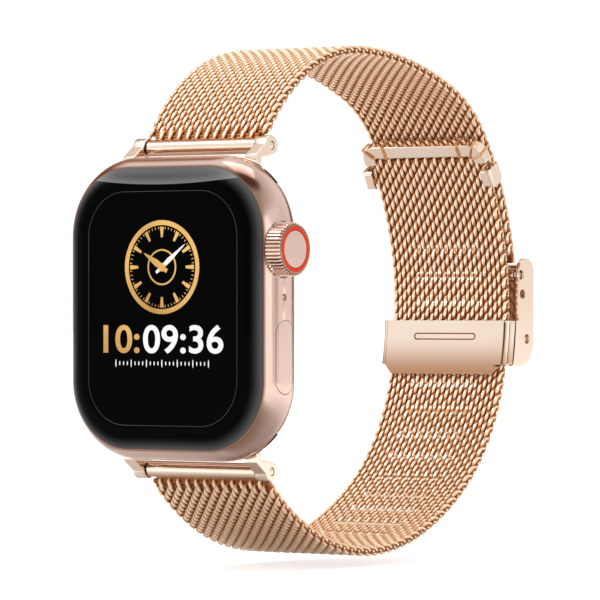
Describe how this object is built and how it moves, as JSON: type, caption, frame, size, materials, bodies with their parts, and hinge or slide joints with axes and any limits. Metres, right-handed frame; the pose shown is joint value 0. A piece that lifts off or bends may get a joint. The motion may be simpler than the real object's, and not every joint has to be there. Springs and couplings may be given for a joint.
{
  "type": "smartwatch",
  "caption": "Smartwatch with a rounded rectangular glass face, side crown and button, on a closed woven metal band with a sliding clasp",
  "frame": {"origin": "centre of the flat on the back crystal, where the watch rests on a wrist or a charging stand", "axes": "+Z to 12 o'clock, +Y from the display through the case towards the wrist, +X to the crown side"},
  "size_m": [0.0401, 0.0798, 0.0762],
  "materials": {
    "rose": "satin rose gold",
    "gold": "polished rose gold plate",
    "weave": "woven rose gold wire",
    "steel": "bare",
    "brass": "turned",
    "copper": "wound",
    "foil": "foil wrap",
    "board": "circuit board",
    "black_glass": "polished",
    "black_plastic": "moulded",
    "black_rubber": "soft",
    "ceramic": "polished",
    "sapphire": "polished",
    "red_enamel": "enamel"
  },
  "bodies": {
    "case": {"case_shell": "rose", "display_glass": "black_glass", "display_panel": "black_plastic", "display_gasket": "black_rubber", "battery": "foil", "main_board": "board", "haptic_engine": "steel", "speaker": "black_plastic", "microphone": "steel", "charging_coil": "copper", "sensor_module": "black_plastic", "back_cover": "ceramic", "back_crystal": "sapphire", "crown_switch": "steel", "button_switch": "steel"},
    "crown_carrier": {"crown_sleeve": "brass", "crown_seal": "black_rubber"},
    "crown": {"crown_knob": "rose", "crown_ring": "red_enamel", "crown_cap": "rose", "crown_shaft": "steel", "crown_encoder": "steel"},
    "button": {"side_button": "rose"},
    "release_upper": {"release_button_upper": "rose"},
    "release_lower": {"release_button_lower": "rose"},
    "upper_adapter": {"adapter_upper": "gold", "adapter_latch_upper": "steel", "strap_pin_upper": "steel"},
    "lower_adapter": {"adapter_lower": "gold", "adapter_latch_lower": "steel", "strap_pin_lower": "steel"},
    "upper_strap_near": {"strap_tube_upper": "gold", "strap_upper_near": "weave"},
    "upper_strap_far": {"strap_upper_far": "weave", "strap_end_tube": "gold"},
    "lower_strap": {"strap_tube_lower": "gold", "strap_lower": "weave", "tail_end_bar": "gold"},
    "clasp": {"clasp_frame": "gold", "clasp_spring_bar": "steel", "clasp_lever_pin": "steel"},
    "lever": {"clasp_lever": "gold"},
    "keeper": {"keeper_loop": "gold"}
  },
  "joints": [
    {"name": "crown_press", "type": "slide", "parent": "case", "child": "crown_carrier", "axis": [-1, 0, 0], "range_m": [0, 0.0003], "stiffness_N_per_m": 2000},
    {"name": "crown_turn", "type": "hinge", "parent": "crown_carrier", "child": "crown", "pos_m": [0.01865, -0.0071, 0.0084], "axis": [1, 0, 0], "continuous": true},
    {"name": "side_button_press", "type": "slide", "parent": "case", "child": "button", "axis": [-1, 0, 0], "range_m": [0, 0.00025], "stiffness_N_per_m": 2000},
    {"name": "release_upper_press", "type": "slide", "parent": "case", "child": "release_upper", "axis": [0, -1, 0], "range_m": [0, 0.0004], "stiffness_N_per_m": 1500},
    {"name": "release_lower_press", "type": "slide", "parent": "case", "child": "release_lower", "axis": [0, -1, 0], "range_m": [0, 0.0004], "stiffness_N_per_m": 1500},
    {"name": "band_slide", "type": "slide", "parent": "case", "child": "lower_adapter", "axis": [1, 0, 0], "range_m": [-0.034, 0.034]},
    {"name": "band_slide_upper", "type": "slide", "parent": "case", "child": "upper_adapter", "axis": [1, 0, 0], "range_m": [-0.034, 0.034]},
    {"name": "lug_upper", "type": "hinge", "parent": "upper_adapter", "child": "upper_strap_near", "pos_m": [0, -0.0006, 0.0235], "axis": [1, 0, 0], "range_deg": [-3.3, 2.7]},
    {"name": "flex_upper", "type": "hinge", "parent": "upper_strap_near", "child": "upper_strap_far", "pos_m": [0, 0.02433, 0.03836], "axis": [1, 0, 0], "range_deg": [-3.6, 4.5]},
    {"name": "lug_lower", "type": "hinge", "parent": "lower_adapter", "child": "lower_strap", "pos_m": [0, -0.0006, -0.0235], "axis": [1, 0, 0], "range_deg": [-4, 3.2]},
    {"name": "clasp_slide", "type": "hinge", "parent": "lower_strap", "child": "clasp", "pos_m": [0, 0.0207, 0], "axis": [1, 0, 0], "range_deg": [-4, 5]},
    {"name": "lever_open", "type": "hinge", "parent": "clasp", "child": "lever", "pos_m": [0, 0.067, -0.00476], "axis": [-1, 0, 0], "range_deg": [0, 110]},
    {"name": "keeper_slide", "type": "hinge", "parent": "lower_strap", "child": "keeper", "pos_m": [0, 0.0207, 0], "axis": [1, 0, 0], "range_deg": [-9, 0]}
  ],
  "couplings": [
    {"joint": "band_slide_upper", "follows": "band_slide", "ratio": 1},
    {"joint": "lug_upper", "follows": "clasp_slide", "ratio": -0.642},
    {"joint": "flex_upper", "follows": "clasp_slide", "ratio": 0.869},
    {"joint": "lug_lower", "follows": "clasp_slide", "ratio": -0.776}
  ]
}
